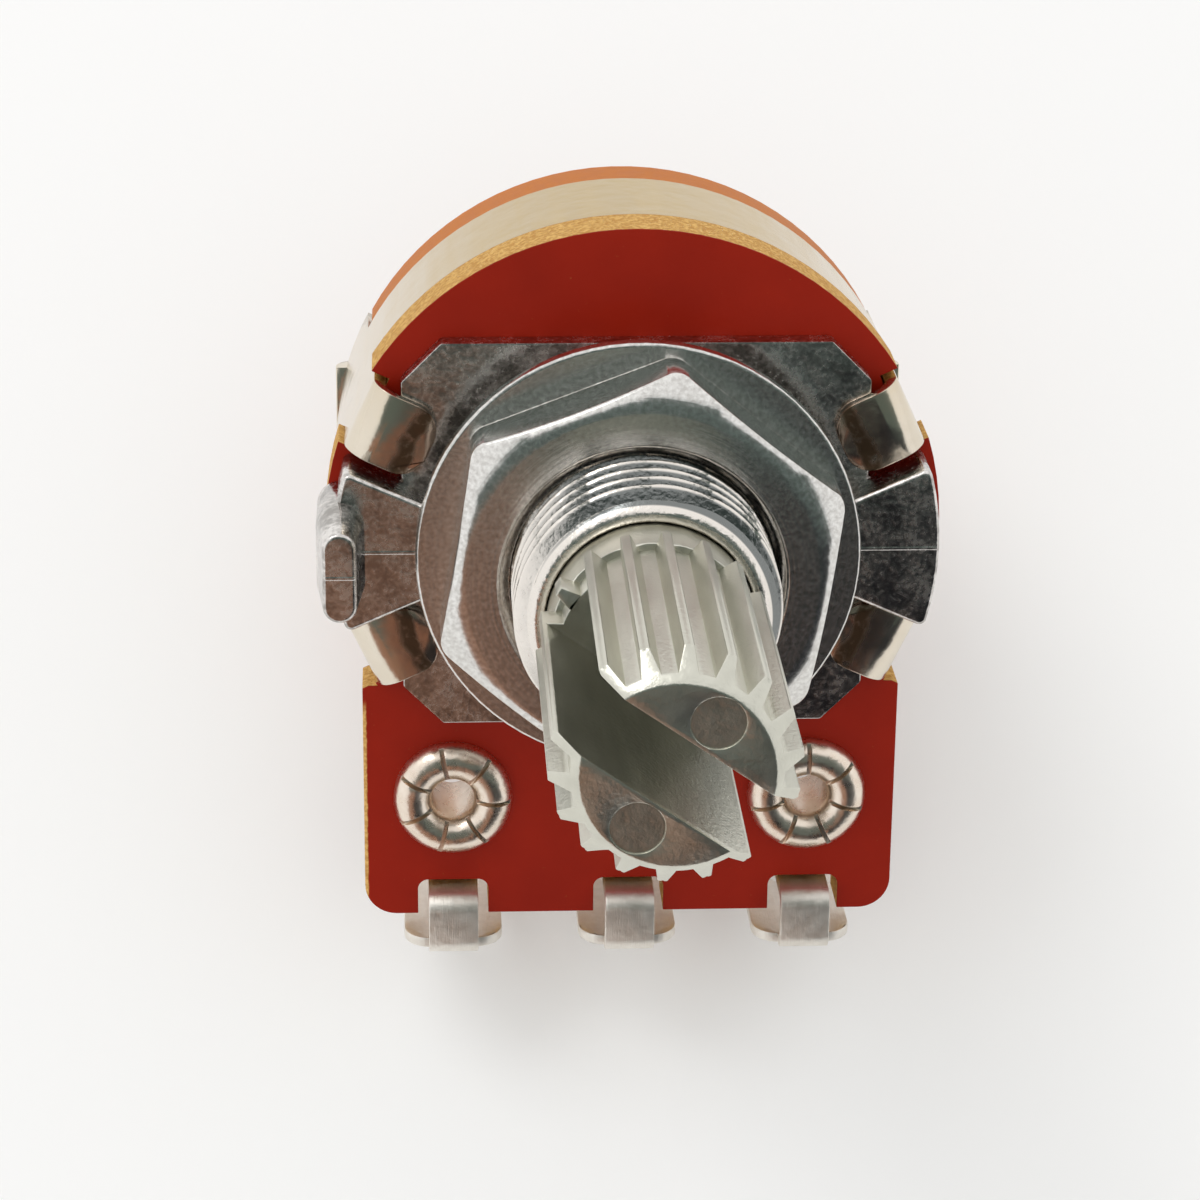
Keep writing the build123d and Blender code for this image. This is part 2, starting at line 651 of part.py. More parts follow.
with BuildPart() as knurled_shaft:
    with BuildSketch(Plane.XZ):
        with BuildLine():
            Polyline((0, stake_rear), (stake_diameter / 2, stake_rear), (stake_diameter / 2, rotor_rear),
                     (tang_diameter / 2, rotor_rear), (tang_diameter / 2, hub_front),
                     (journal_radius, hub_front), (journal_radius, ring_face - ring_thickness - running_gap),
                     (groove_radius, ring_face - ring_thickness - running_gap),
                     (groove_radius, ring_face + fixed_gap), (journal_radius, ring_face + fixed_gap),
                     (journal_radius, knurl_start), (0, knurl_start), close=True)
        make_face()
    revolve(axis=Axis.Z)
    with BuildSketch(Plane.XY.offset(hub_front)):
        for side in (1, -1):
            with Locations((0, side * (tang_flats + tang_diameter) / 2)):
                Rectangle(2 * tang_diameter, tang_diameter)
    extrude(amount=rotor_rear - hub_front, mode=Mode.SUBTRACT)
    with BuildSketch(Plane.XY.offset(knurl_start)):
        Circle(root_radius)
        with PolarLocations(0, knurl_teeth, slot_angle):
            Polygon((0, 0), (tooth_foot_x, -tooth_foot / 2), (crest_radius, -knurl_crest_width / 2),
                    (crest_radius, knurl_crest_width / 2), (tooth_foot_x, tooth_foot / 2), align=None)
    extrude(amount=shaft_length - knurl_start)
    with BuildSketch(Plane.XZ):
        with BuildLine():
            Polyline((0, stake_rear), (crest_radius + slot_width, stake_rear),
                     (crest_radius + slot_width, cone_start), (crest_radius, cone_start),
                     (tip_radius, shaft_length), (0, shaft_length), close=True)
        make_face()
    revolve(axis=Axis.Z, mode=Mode.INTERSECT)
    with BuildSketch(Plane.XY.offset(shaft_length - slot_depth)):
        Rectangle(2 * knurl_diameter, slot_width, rotation=slot_angle)
    extrude(amount=slot_depth, mode=Mode.SUBTRACT)
    with BuildSketch(Plane.XY.offset(shaft_length - ejector_mark_depth)):
        with PolarLocations(ejector_mark_radius, 2, 90 + slot_angle):
            Circle(ejector_mark_diameter / 2)
    extrude(amount=ejector_mark_depth, mode=Mode.SUBTRACT)
knurled_shaft.part.label = "knurled_shaft"
export_step(knurled_shaft.part, "parts/knurled_shaft.step")

# Retaining ring, open on one side, which snaps into the shaft's groove behind the plate
with BuildPart() as retaining_ring:
    with BuildSketch(Plane.XY.offset(ring_face - ring_thickness)):
        sector(groove_radius + fixed_gap, ring_diameter / 2, 180 + rotor_angle, 360 - ring_opening_angle)
    extrude(amount=ring_thickness)
retaining_ring.part.label = "retaining_ring"
export_step(retaining_ring.part, "parts/retaining_ring.step")

# Rotor: moulded disc with a hub on the shaft's tang, a stop lug and the switch pin
with BuildPart() as rotor:
    with BuildSketch(Plane.XY.offset(rotor_rear)):
        Circle(rotor_radius)
        with BuildSketch():
            sector(rotor_hub_diameter / 2, can_bore - stop_lug_gap, rotor_angle, 2 * stop_lug_half_angle)
    extrude(amount=rotor_thickness)
    with BuildSketch(Plane.XY.offset(rotor_front)):
        Circle(rotor_hub_diameter / 2)
    extrude(amount=rotor_hub_height)
    with BuildSketch(Plane.XY.offset(rotor_rear)):
        Circle(tang_diameter / 2 + fixed_gap)
        Rectangle(2 * tang_diameter, tang_flats + 2 * fixed_gap, mode=Mode.INTERSECT)
    extrude(amount=rotor_thickness + rotor_hub_height, mode=Mode.SUBTRACT)
    with BuildSketch(Plane.XY.offset(rotor_rear)):
        with PolarLocations(cam_radius, 1, cam_pin_angle):
            Circle(cam_pin_diameter / 2)
    extrude(amount=-cam_pin_length)
rotor.part.label = "rotor"
export_step(rotor.part, "parts/rotor.step")

# Wiper brush: spring sheet on the rotor, with one finger on the ring and one on the track
collector_contact = terminal_rear - running_gap - brush_thickness / 2
track_contact = track_face - running_gap - brush_thickness / 2
brush_mid = rotor_front + brush_thickness / 2
brush_turn = radians(rotor_angle)
brush_plate_middle = rotor_angle - degrees(brush_finger_length / track_mid_radius)

with BuildPart() as wiper_brush:
    with BuildSketch(Plane.XY.offset(rotor_front)):
        sector(rotor_hub_diameter / 2 + fixed_gap, rotor_radius - fixed_gap, brush_plate_middle,
               brush_plate_angle)
    extrude(amount=brush_thickness)
    for radius, level in ((collector_mid_radius, collector_contact), (track_mid_radius, track_contact)):
        finger_plane = Plane(origin=(radius * cos(brush_turn), radius * sin(brush_turn), 0),
                             x_dir=(-sin(brush_turn), cos(brush_turn), 0),
                             z_dir=(cos(brush_turn), sin(brush_turn), 0))
        with BuildSketch(finger_plane):
            with BuildLine():
                Polyline((-brush_finger_length - brush_contact_length, brush_mid),
                         (-brush_finger_length, brush_mid), (0, level), (brush_contact_length, level))
            trace(line_width=brush_thickness)
        extrude(amount=brush_finger_width / 2, both=True)
wiper_brush.part.label = "wiper_brush"
export_step(wiper_brush.part, "parts/wiper_brush.step")
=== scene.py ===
import json
import math

import bmesh
import bpy
from mathutils import Matrix, Vector

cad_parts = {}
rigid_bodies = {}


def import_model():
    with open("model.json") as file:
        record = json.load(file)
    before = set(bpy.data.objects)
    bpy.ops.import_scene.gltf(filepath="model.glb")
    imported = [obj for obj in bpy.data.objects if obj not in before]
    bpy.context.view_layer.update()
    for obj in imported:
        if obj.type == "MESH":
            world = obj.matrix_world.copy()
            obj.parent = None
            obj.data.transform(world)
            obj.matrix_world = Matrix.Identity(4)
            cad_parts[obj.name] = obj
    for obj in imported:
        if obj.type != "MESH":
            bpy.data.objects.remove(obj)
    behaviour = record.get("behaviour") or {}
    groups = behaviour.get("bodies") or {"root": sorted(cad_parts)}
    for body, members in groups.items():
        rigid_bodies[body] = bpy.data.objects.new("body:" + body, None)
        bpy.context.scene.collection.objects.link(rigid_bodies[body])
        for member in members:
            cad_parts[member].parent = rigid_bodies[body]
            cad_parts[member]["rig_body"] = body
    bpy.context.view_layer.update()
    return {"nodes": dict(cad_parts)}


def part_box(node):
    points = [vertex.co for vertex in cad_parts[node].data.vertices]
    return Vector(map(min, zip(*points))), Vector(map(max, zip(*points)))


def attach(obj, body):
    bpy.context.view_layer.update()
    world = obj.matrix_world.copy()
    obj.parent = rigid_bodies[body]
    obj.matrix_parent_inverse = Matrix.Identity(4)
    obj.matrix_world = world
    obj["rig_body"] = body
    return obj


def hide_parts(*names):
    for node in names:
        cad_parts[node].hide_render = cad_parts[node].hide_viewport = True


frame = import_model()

# Front board: punched from red paper phenolic, a round head with a square leg. The resin face is
# smooth and deep red, and the punched edge shows the paper's tan layers, a little torn at the rim.
bpy.ops.object.select_all(action="DESELECT")
MM = 0.001


class Wire:
    """A socket of a recipe, on which sums are written as on a number."""

    def __init__(self, recipe, socket):
        self.recipe = recipe
        self.socket = socket

    def sum(self, operation, *terms):
        return self.recipe.node("ShaderNodeMath", {"operation": operation}, dict(enumerate(terms)))

    def __add__(self, other):
        return self.sum("ADD", self, other)

    def __sub__(self, other):
        return self.sum("SUBTRACT", self, other)

    def __rsub__(self, other):
        return self.sum("SUBTRACT", other, self)

    def __mul__(self, other):
        return self.sum("MULTIPLY", self, other)

    def __abs__(self):
        return self.sum("ABSOLUTE", self)

    __radd__ = __add__
    __rmul__ = __mul__


class Recipe:
    """The nodes of a finish or of the studio's light."""

    def __init__(self, tree):
        self.tree = tree

    def node(self, kind, settings=None, inputs=None, output=0):
        made = self.tree.nodes.new(kind)
        for name, value in (settings or {}).items():
            setattr(made, name, value)
        for name, value in (inputs or {}).items():
            if isinstance(value, Wire):
                self.tree.links.new(value.socket, made.inputs[name])
            else:
                made.inputs[name].default_value = value
        return Wire(self, made.outputs[output])

    def tint(self, share, under, over):
        """The colour under, and over where share is 1."""
        under, over = (colour if isinstance(colour, Wire) else (*colour, 1) for colour in (under, over))
        factor, first_colour, second_colour, mixed_colour = 0, 6, 7, 2
        return self.node("ShaderNodeMix", {"data_type": "RGBA"},
                         {factor: share, first_colour: under, second_colour: over}, output=mixed_colour)


class Finish(Recipe):
    """The surface of a piece, whose patterns are sized in millimetres."""

    def __init__(self, name, **constants):
        self.material = bpy.data.materials.new(name)
        self.material.use_nodes = True
        super().__init__(self.material.node_tree)
        self.shader = self.tree.nodes["Principled BSDF"]
        place = self.node("ShaderNodeTexCoord", output="Object")
        self.place = self.node("ShaderNodeMapping", inputs={"Vector": place, "Scale": [1 / MM] * 3})
        self.feed(**constants)

    def feed(self, **sockets):
        """Sets the shader's sockets: base_color is its Base Color."""
        for name, value in sockets.items():
            socket = self.shader.inputs[name.replace("_", " ").title().replace("Ior", "IOR")]
            if isinstance(value, Wire):
                self.tree.links.new(value.socket, socket)
            else:
                socket.default_value = (*value, 1) if isinstance(value, tuple) else value

    def axis(self, letter):
        """How far along X, Y or Z the point is, in millimetres."""
        return self.node("ShaderNodeSeparateXYZ", inputs={"Vector": self.place}, output=letter)

    def radius(self):
        """How far from the shaft's axis the point is, in millimetres."""
        x, y = self.axis("X"), self.axis("Y")
        return self.node("ShaderNodeMath", {"operation": "SQRT"}, {0: x * x + y * y})

    def cloud(self, size, detail=2.0, rough=0.5, stretch=(1, 1, 1)):
        """Cloudy variation from 0 to 1, with spots of that size, drawn out along an axis by stretch."""
        drawn = self.node("ShaderNodeMapping",
                          inputs={"Vector": self.place, "Scale": [1 / (size * s) for s in stretch]})
        return self.node("ShaderNodeTexNoise", {"normalize": True},
                         {"Vector": drawn, "Scale": 1.0, "Detail": detail, "Roughness": rough})

    def rise(self, value, start, end):
        """0 below start and 1 above end, with a soft step between them."""
        return self.node("ShaderNodeMapRange", {"interpolation_type": "SMOOTHSTEP"},
                         {"Value": value, "From Min": start, "From Max": end})

    def relief(self, height, depth):
        """Bumps that stand out by depth, in millimetres, where height is 1."""
        return self.node("ShaderNodeBump", inputs={"Height": height, "Distance": depth * MM, "Strength": 1.0},
                         output="Normal")


def copy_of(node, whole_faces=True):
    """A selected copy of a CAD node, merged, with the triangles of each flat face made one face or not."""
    merged_within, flat_within = 0.002 * MM, math.radians(0.1)
    piece = bpy.data.objects.new(node + "_piece", frame["nodes"][node].data.copy())
    bpy.context.collection.objects.link(piece)
    bpy.ops.object.select_all(action="DESELECT")
    piece.select_set(True)
    bpy.context.view_layer.objects.active = piece
    bpy.ops.mesh.customdata_custom_splitnormals_clear()
    bpy.ops.object.mode_set(mode="EDIT")
    bpy.ops.mesh.select_all(action="SELECT")
    bpy.ops.mesh.remove_doubles(threshold=merged_within)
    if whole_faces:
        bpy.ops.mesh.dissolve_limited(angle_limit=flat_within)
    bpy.ops.object.mode_set(mode="OBJECT")
    return piece


def break_edges(piece, width, held_back=True):
    """Breaks the piece's sharp outer edges to that width, held back or not by its narrowest faces."""
    sharp_angle = math.radians(32)
    shape = bmesh.new()
    shape.from_mesh(piece.data)
    weight = shape.edges.layers.float.new("bevel_weight_edge")
    for edge in shape.edges:
        edge[weight] = edge.is_convex and edge.calc_face_angle() > sharp_angle
    shape.to_mesh(piece.data)
    shape.free()
    corners = piece.modifiers.new("corners", "BEVEL")
    corners.width = width
    corners.use_clamp_overlap = held_back
    corners.segments = 2
    corners.limit_method = "WEIGHT"
    bpy.ops.object.modifier_apply(modifier=corners.name)
    bpy.ops.object.shade_smooth_by_angle(angle=sharp_angle)
    flats = piece.modifiers.new("flats", "WEIGHTED_NORMAL")
    flats.keep_sharp = True
    bpy.ops.object.modifier_apply(modifier=flats.name)


def dress(piece, node, finish):
    """Gives a piece its finish, and the body, slot and place of the CAD node that it stands for."""
    piece.data.materials.clear()
    piece.data.materials.append(finish.material)
    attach(piece, frame["nodes"][node]["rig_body"])
    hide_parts(node)


def deburred(node, finish, broken, fine=False):
    """Stands a copy of a CAD node in for it, with its sharp edges broken to that width. The many
    narrow faces of a fine piece don't hold the width back."""
    piece = copy_of(node, whole_faces=not fine)
    break_edges(piece, broken, held_back=not fine)
    dress(piece, node, finish)


board_rear, board_front = (corner.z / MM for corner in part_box("terminal_board"))
left_rim, leg_top = (7.41, 7.46), (-5.5, -5)
red_phenolic = Finish("red_paper_phenolic")
through_board = red_phenolic.axis("Z")
torn = red_phenolic.cloud(0.15, detail=3) * 0.1
cut_edge = (red_phenolic.rise(through_board, board_rear + 0.01, board_rear + 0.05)
            * (1 - red_phenolic.rise(through_board + torn, board_front - 0.02, board_front + 0.03)))
chipped_side = (red_phenolic.rise(torn * 0.6 - red_phenolic.axis("X"), *left_rim)
                * (1 - red_phenolic.rise(red_phenolic.axis("Y"), *leg_top)))
layers = red_phenolic.cloud(0.6, detail=4, rough=0.7, stretch=(1, 1, 0.12))
fluff = red_phenolic.rise(red_phenolic.cloud(0.12, detail=3), 0.35, 0.65)
pores = red_phenolic.cloud(0.08) * 0.12
paper = red_phenolic.tint(layers * 0.5 + fluff * 0.5, (0.46, 0.2, 0.04), (0.9, 0.58, 0.2))
resin = red_phenolic.tint(red_phenolic.cloud(2.5, detail=3), (0.24, 0.008, 0.001), (0.36, 0.014, 0.002))
red_phenolic.feed(base_color=red_phenolic.tint(cut_edge + chipped_side, resin, paper),
                  roughness=0.36 + cut_edge * 0.4 + red_phenolic.cloud(0.3) * 0.06,
                  specular_ior_level=0.15,
                  normal=red_phenolic.relief((layers + fluff) * cut_edge + pores, 0.03))
deburred("terminal_board", red_phenolic, broken=0.06 * MM)

# Track and pads: carbon ink in a horseshoe on the rear of the front board, overprinted with silver
# where it meets the end rivets. The can hides both once it is closed.
carbon_ink = Finish("carbon_ink")
grit = carbon_ink.cloud(0.06, detail=3)
carbon_ink.feed(base_color=carbon_ink.tint(grit, (0.012, 0.012, 0.013), (0.035, 0.034, 0.034)),
                roughness=0.5 + grit * 0.2)
silver_ink = Finish("silver_ink", metallic=1.0)
flakes = silver_ink.cloud(0.05, detail=3)
silver_ink.feed(base_color=silver_ink.tint(flakes, (0.55, 0.54, 0.52), (0.8, 0.79, 0.77)),
                roughness=0.4 + flakes * 0.2)


def paint(node, finish):
    """Gives a CAD node itself its finish."""
    surface = frame["nodes"][node].data
    surface.materials.clear()
    surface.materials.append(finish.material)


paint("carbon_track", carbon_ink)
paint("silver_pads", silver_ink)

# Terminals: blanked from brass strip, bent over the board through its notches and dipped in tin.
# Fine rolling lines run along the strip, and the tin is a little cloudy.
tinned_brass = Finish("tinned_brass", metallic=1.0)
rolling = tinned_brass.cloud(0.5, detail=3, stretch=(0.08, 1, 1))
tin_bloom = tinned_brass.cloud(0.35, detail=3)
tinned_brass.feed(base_color=tinned_brass.tint(tin_bloom, (0.72, 0.67, 0.6), (0.95, 0.92, 0.86)),
                  roughness=0.34 + rolling * 0.16 + tin_bloom * 0.16,
                  normal=tinned_brass.relief(rolling * 0.35 + tin_bloom, 0.025))
for node in ("end_terminal_left", "wiper_terminal", "end_terminal_right"):
    deburred(node, tinned_brass, broken=0.04 * MM, fine=True)

# Terminal rivets: hollow rivets of tinned brass. They hold the terminals, and a punch has rolled
# their mouths over in front of the board until they split into bright petals.
rivet_tin = Finish("rivet_tin", metallic=1.0)
ripples = rivet_tin.cloud(0.35, detail=3)
rivet_tin.feed(base_color=rivet_tin.tint(ripples, (0.72, 0.58, 0.46), (0.97, 0.89, 0.79)),
               roughness=0.22 + ripples * 0.12,
               normal=rivet_tin.relief(ripples, 0.02))
for node in ("terminal_rivet_left", "terminal_rivet_right"):
    deburred(node, rivet_tin, broken=0.04 * MM)

# Rotor and wiper: a disc moulded in natural acetal, which carries two bronze fingers. Both sit
# inside the can, where the shaft's flats turn them.
acetal = Finish("natural_acetal")
flow = acetal.cloud(1.5, detail=3)
acetal.feed(base_color=acetal.tint(flow, (0.74, 0.73, 0.68), (0.84, 0.83, 0.79)),
            roughness=0.38 + flow * 0.12)
deburred("rotor", acetal, broken=0.06 * MM)
spring_bronze = Finish("spring_bronze", metallic=1.0)
tarnish = spring_bronze.cloud(0.3, detail=3)
spring_bronze.feed(base_color=spring_bronze.tint(tarnish, (0.55, 0.36, 0.17), (0.78, 0.56, 0.3)),
                   roughness=0.25 + tarnish * 0.15)
paint("wiper_brush", spring_bronze)

# Bushing plate: one zinc die casting, whose parting line crosses both wings and the lug. Its skin is
# mottled where the metal froze against the die, and the thread is cast and then cleaned up.
zinc_casting = Finish("zinc_casting", metallic=1.0)
from_axis = zinc_casting.radius()
skin = zinc_casting.cloud(0.9, detail=5, rough=0.65)
grain = zinc_casting.cloud(0.14, detail=2)
waves = zinc_casting.cloud(0.6) * 0.8
beside_thread, groove_floor, groove_mouth = (3.7, 4.2), (3.13, 3.17), (3.42, 3.475)
oily_side, parting_at, parting_width = (-3.2, -0.8), 0.02, (0.015, 0.06)
clear_of_thread = zinc_casting.rise(from_axis, *beside_thread)
parting = (1 - zinc_casting.rise(abs(zinc_casting.axis("Y") - parting_at), *parting_width)) * clear_of_thread
# Painted shade: on the right side the thread's grooves and the chamfer at its nose are painted dark, as shade
# falls in them, while the crests keep the bright cut metal.
oily_root = ((1 - zinc_casting.rise(from_axis, *groove_mouth)) * zinc_casting.rise(from_axis, *groove_floor)
             * zinc_casting.rise(zinc_casting.axis("X") + skin, *oily_side))
mottle = zinc_casting.rise(skin * 0.6 + grain * 0.4, 0.36, 0.64)
cast_skin = zinc_casting.tint(mottle, (0.35, 0.33, 0.31), (0.83, 0.8, 0.77))
cut_thread = zinc_casting.tint(oily_root, (0.84, 0.79, 0.73), (0.22, 0.23, 0.225))
scratches = zinc_casting.cloud(0.15) * (1 - clear_of_thread)
zinc_casting.feed(base_color=zinc_casting.tint(clear_of_thread, cut_thread, cast_skin),
                  roughness=0.16 + mottle * 0.14,
                  normal=zinc_casting.relief(grain * 0.25 + waves + parting * 0.7 + scratches, 0.015))
foot, nose = 0.25 * MM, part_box("bushing_plate")[1].z
bore, crest, root, rim = 2.72 * MM, 3.5 * MM, 3.02 * MM, 3.05 * MM
pitch, first_crest, row = 0.65 * MM, 0.49 * MM, 0.05 * MM

plate = copy_of("bushing_plate", whole_faces=False)
bpy.ops.object.mode_set(mode="EDIT")
bpy.ops.mesh.select_mode(type="FACE")
bpy.ops.mesh.select_all(action="DESELECT")
bpy.ops.object.mode_set(mode="OBJECT")
for face in plate.data.polygons:
    face.select = all(plate.data.vertices[v].co.xy.length < crest + row for v in face.vertices)
bpy.ops.object.mode_set(mode="EDIT")
bpy.ops.mesh.bisect(plane_co=(0, 0, foot), plane_no=(0, 0, 1), clear_outer=True)
bpy.ops.mesh.bridge_edge_loops()
bpy.ops.mesh.select_mode(type="VERT")
bpy.ops.object.mode_set(mode="OBJECT")
break_edges(plate, 0.06 * MM, held_back=False)


def turned(name, columns, profile):
    """A ring turned about the shaft's axis, from its profile of radii and heights."""
    bpy.ops.object.select_all(action="DESELECT")
    radius, height = profile[0]
    bpy.ops.mesh.primitive_circle_add(vertices=columns, radius=radius, location=(0, 0, 0))
    ring = bpy.context.object
    ring.name = name
    bpy.ops.object.mode_set(mode="EDIT")
    bpy.ops.transform.translate(value=(0, 0, height))
    for next_radius, next_height in profile[1:] + profile[:1]:
        bpy.ops.mesh.extrude_edges_move(TRANSFORM_OT_translate={"value": (0, 0, next_height - height)})
        bpy.ops.transform.resize(value=(next_radius / radius, next_radius / radius, 1))
        radius, height = next_radius, next_height
    bpy.ops.mesh.select_all(action="SELECT")
    bpy.ops.mesh.remove_doubles(threshold=0.001 * MM)
    bpy.ops.mesh.normals_make_consistent(inside=False)
    bpy.ops.object.mode_set(mode="OBJECT")
    return ring


chamfer_start = nose - row - (crest - rim)
wall = [(crest, foot + row * step) for step in range(math.ceil((chamfer_start - foot) / row))]
slope = [(crest - row * step, chamfer_start + row * step) for step in range(round((crest - rim) / row))]
rounding = ((2.97, 0.01), (2.9, 0), (2.81, 0.02), (2.74, 0.06), (2.7, 0.13))
lip = ([(rim, nose - 0.06 * MM)] + [(out * MM, nose - down * MM) for out, down in rounding]
       + [(bore, nose - 0.25 * MM)])
thread = turned("thread", columns=144, profile=[(bore, foot)] + wall + slope + lip)
half_crest, flank = 0.07, 0.38
for vertex in thread.data.vertices:
    radius = vertex.co.xy.length
    if radius > rim:
        turn = math.atan2(vertex.co.y, vertex.co.x) / (2 * math.pi)
        from_crest = abs(((vertex.co.z - first_crest) / pitch - turn + 0.5) % 1 - 0.5)
        down_flank = min(max((from_crest - half_crest) / flank, 0), 1)
        cut = crest - (crest - root) * down_flank
        vertex.co.xy *= min(radius, cut) / radius
bpy.ops.object.shade_smooth_by_angle(angle=math.radians(50))
plate.select_set(True)
bpy.context.view_layer.objects.active = plate
bpy.ops.object.join()
dress(plate, "bushing_plate", zinc_casting)

# Shaft: cast in the same zinc but paler, with eighteen teeth that grip a knob, a slot for a
# screwdriver, and the round marks of two ejector pins on its tip.
shaft_zinc = Finish("shaft_zinc", metallic=1.0)
drag = shaft_zinc.cloud(0.5, detail=4, stretch=(1, 1, 5))
shaft_zinc.feed(base_color=shaft_zinc.tint(drag, (0.54, 0.53, 0.46), (0.76, 0.75, 0.66)),
                roughness=0.26 + drag * 0.16,
                normal=shaft_zinc.relief(drag + shaft_zinc.cloud(0.12), 0.012))
deburred("knurled_shaft", shaft_zinc, broken=0.035 * MM, fine=True)

# Retaining ring: spring steel wire, rolled flat and open on one side. It is snapped into the shaft's
# groove behind the plate, and keeps the shaft from being pulled out.
ring_steel = Finish("ring_steel", metallic=1.0)
scale = ring_steel.cloud(0.3, detail=3)
ring_steel.feed(base_color=ring_steel.tint(scale, (0.3, 0.3, 0.31), (0.5, 0.5, 0.5)),
                roughness=0.3 + scale * 0.2)
deburred("retaining_ring", ring_steel, broken=0.04 * MM)

# Rear board and switch: a disc of orange paper phenolic that closes the can. The switch's two bronze
# contacts inside it and the two tinned lugs outside it are riveted together through the disc.
orange_phenolic = Finish("orange_paper_phenolic")
weave = orange_phenolic.cloud(0.4, detail=4)
fibres = orange_phenolic.cloud(0.5, detail=4, rough=0.7, stretch=(1, 1, 0.15))
stock = orange_phenolic.tint(weave * 0.5 + fibres * 0.5, (0.44, 0.11, 0.012), (0.66, 0.23, 0.04))
orange_phenolic.feed(base_color=stock,
                     roughness=0.45 + weave * 0.2, specular_ior_level=0.2,
                     normal=orange_phenolic.relief(fibres, 0.015))
deburred("switch_board", orange_phenolic, broken=0.05 * MM)
for node in ("switch_leaf", "fixed_contact"):
    paint(node, spring_bronze)
for node in ("switch_lug_left", "switch_lug_right"):
    deburred(node, tinned_brass, broken=0.03 * MM)
for node in ("switch_rivet_left", "switch_rivet_right"):
    deburred(node, rivet_tin, broken=0.03 * MM)

# Can: drawn from tinned sheet. Its claws are folded over the plate's flange and hold everything
# together, and the tool that folded them has stained them near their tips. Two ears at the back are
# folded over the rear board.
tinplate = Finish("tinplate", metallic=1.0)
draw = tinplate.cloud(1.2, detail=3, stretch=(0.4, 0.4, 3))
dents = tinplate.cloud(0.9, detail=2)
pale = tinplate.tint(draw, (0.7, 0.62, 0.5), (0.84, 0.77, 0.66))
# Painted reflection: the can's upper side, towards +Y, is painted yellower and darker than its pale sides,
# for the board and paper that it mirrors.
yellowed = tinplate.tint(draw, (0.46, 0.32, 0.12), (0.6, 0.45, 0.22))
round_top, claw_bend, over_board = (4, 10), (7.4, 7.8), (-1.35, -1.15)
stain_tip, stain_end = (6.7, 6.85), (7.1, 7.35)
tin = tinplate.tint(tinplate.rise(tinplate.axis("Y") + draw * 3, *round_top), pale, yellowed)
from_shaft = tinplate.radius() + dents * 0.5
claw_end = (1 - tinplate.rise(from_shaft, *claw_bend)) * tinplate.rise(tinplate.axis("Z"), *over_board)
rubbed = claw_end * (1 - tinplate.rise(from_shaft, *stain_end)) * tinplate.rise(from_shaft, *stain_tip)
stain = tinplate.rise(tinplate.cloud(0.3, detail=5), 0.2, 0.5) * rubbed
dulled = tinplate.tint(claw_end, tin, (0.6, 0.47, 0.38))
tinplate.feed(base_color=tinplate.tint(stain, dulled, (0.16, 0.105, 0.065)),
              roughness=0.14 + draw * 0.12 + stain * 0.2,
              normal=tinplate.relief(draw * 0.4 + dents, 0.03))
deburred("housing_can", tinplate, broken=0.035 * MM, fine=True)

# Washer and nut: steel, nickel plated. The washer is stamped, and the nut is turned from hexagon bar,
# so rings of the cutting tool stand on its front face.
nickel_plate = Finish("nickel_plate", metallic=1.0)
pickle = nickel_plate.cloud(0.12, detail=4)
scuffs = nickel_plate.cloud(0.5, detail=4, stretch=(1, 0.25, 1))
rings_per_mm = 9
rings = nickel_plate.node("ShaderNodeTexNoise", {"noise_dimensions": "1D"},
                          {"W": nickel_plate.radius() * rings_per_mm, "Scale": 1.0, "Detail": 3.0})
nickel = nickel_plate.tint(nickel_plate.rise(pickle, 0.2, 0.8), (0.58, 0.56, 0.53), (0.84, 0.83, 0.8))
nickel_plate.feed(base_color=nickel,
                  roughness=0.14 + pickle * 0.1 + scuffs * 0.06,
                  normal=nickel_plate.relief(pickle * 0.3 + scuffs * 0.3 + rings * 0.35, 0.006))
deburred("flat_washer", nickel_plate, broken=0.07 * MM)
deburred("mounting_nut", nickel_plate, broken=0.08 * MM)

# Table: pale paper. The part leans back on it, on its rear board and the tips of its terminals, and
# the sheet is clear from below, so that the rear of the part can be looked at.
paper_normal = Vector((-0.0289, 0.6922, 0.7211)).normalized()
lowest = min(paper_normal.dot(vertex.co) for node in frame["nodes"].values() for vertex in node.data.vertices)
bpy.ops.mesh.primitive_plane_add(size=3.0, location=paper_normal * lowest,
                                 rotation=paper_normal.to_track_quat("Z", "Y").to_euler())
table = bpy.context.object
table.name = "table"


def shown(recipe):
    """1 for the rays that show a thing or its mirror image, and 0 for those that only light the part."""
    camera_ray, glossy_ray, transmission_ray = (
        recipe.node("ShaderNodeLightPath", output=kind)
        for kind in ("Is Camera Ray", "Is Glossy Ray", "Is Transmission Ray"))
    return camera_ray + glossy_ray + transmission_ray


pale_paper = Finish("pale_paper", roughness=0.9)
pale_paper.feed(base_color=(0.88, 0.88, 0.87), emission_strength=1.0,
                emission_color=pale_paper.tint(shown(pale_paper), (0, 0, 0), (0.09, 0.09, 0.09)))
from_below = pale_paper.node("ShaderNodeNewGeometry", output="Backfacing")
upper_side = Wire(pale_paper, pale_paper.shader.outputs["BSDF"])
lower_side = pale_paper.node("ShaderNodeBsdfTransparent")
sheet = pale_paper.node("ShaderNodeMixShader", inputs={0: from_below, 1: upper_side, 2: lower_side})
pale_paper.tree.links.new(sheet.socket, pale_paper.tree.nodes["Material Output"].inputs["Surface"])
table.data.materials.append(pale_paper.material)

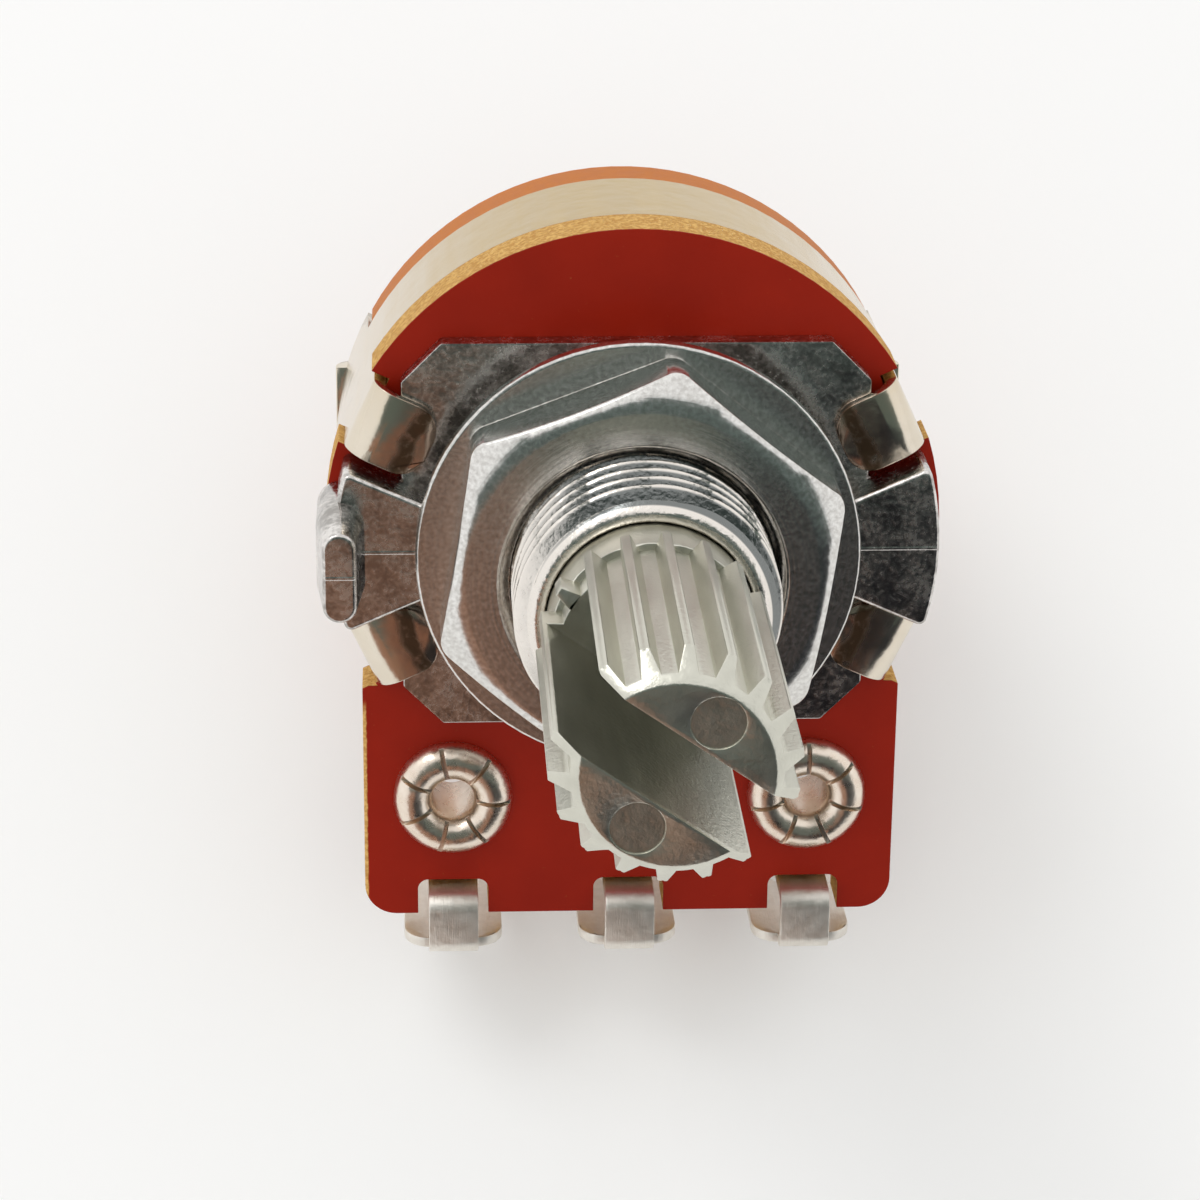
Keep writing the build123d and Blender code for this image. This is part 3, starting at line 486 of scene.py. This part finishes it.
# Studio: a white room, one soft lamp above the part's upper left, and a dark card over the part,
# which is seen only as its mirror image in bright metal.
world = bpy.data.worlds.new("studio")
bpy.context.scene.world = world
world.use_nodes = True
room = Recipe(world.node_tree)
walls = room.tint(shown(room), (0.86, 0.86, 0.86), (1, 1, 1))
room.tree.links.new(walls.socket, room.tree.nodes["Background"].inputs["Color"])

across = Vector((0.9986, 0.0101, 0.0523))
uphill = paper_normal.cross(across)
lamp_distance = 0.6
lamp_place = lamp_distance * (paper_normal * 0.8 - across * 0.45 + uphill * 0.4)
bpy.ops.object.light_add(type="AREA", location=lamp_place,
                         rotation=lamp_place.to_track_quat("Z", "Y").to_euler())
lamp = bpy.context.object
lamp.data.shape = "DISK"
lamp.data.size = 0.3
lamp.data.energy = 0.65

bpy.ops.mesh.primitive_plane_add(size=0.22, location=(0.04, -0.04, 0.1), rotation=(math.pi, 0, 0))
card = bpy.context.object
card.name = "dark_card"
card.visible_camera = card.visible_diffuse = card.visible_shadow = False
left_end, upper_end = (-50, -28), (-25, -5)
dark_card = Finish("dark_card", base_color=(0, 0, 0), roughness=1.0, emission_strength=1.0)
from_left = dark_card.rise(dark_card.axis("X"), *left_end)
from_top = dark_card.rise(dark_card.axis("Y"), *upper_end)
shade = dark_card.tint(from_left, (0.32, 0.17, 0.11), (0.008, 0.01, 0.014))
dark_card.feed(emission_color=dark_card.tint(from_top, (0.1, 0.13, 0.12), shade))
card.data.materials.append(dark_card.material)

# Camera: above the part and a little to its upper left, as far off as a telephone is held when
# it takes a small thing. The lens is the one that gives the part its size in the picture.
bpy.ops.object.camera_add(location=(-0.0060647, 0.0332196, 0.0899999))
camera = bpy.context.object
right, up = Vector((0.99858, 0.01009, 0.05225)), Vector((0.00932, 0.9335, -0.35845))
camera.rotation_euler = Matrix((right, up, right.cross(up))).transposed().to_euler()
camera.data.lens = 106.87
camera.data.sensor_width = 36.0
camera.data.clip_start = 0.005
camera.data.clip_end = 10
bpy.context.scene.camera = camera
bpy.context.scene.view_settings.view_transform = "Standard"
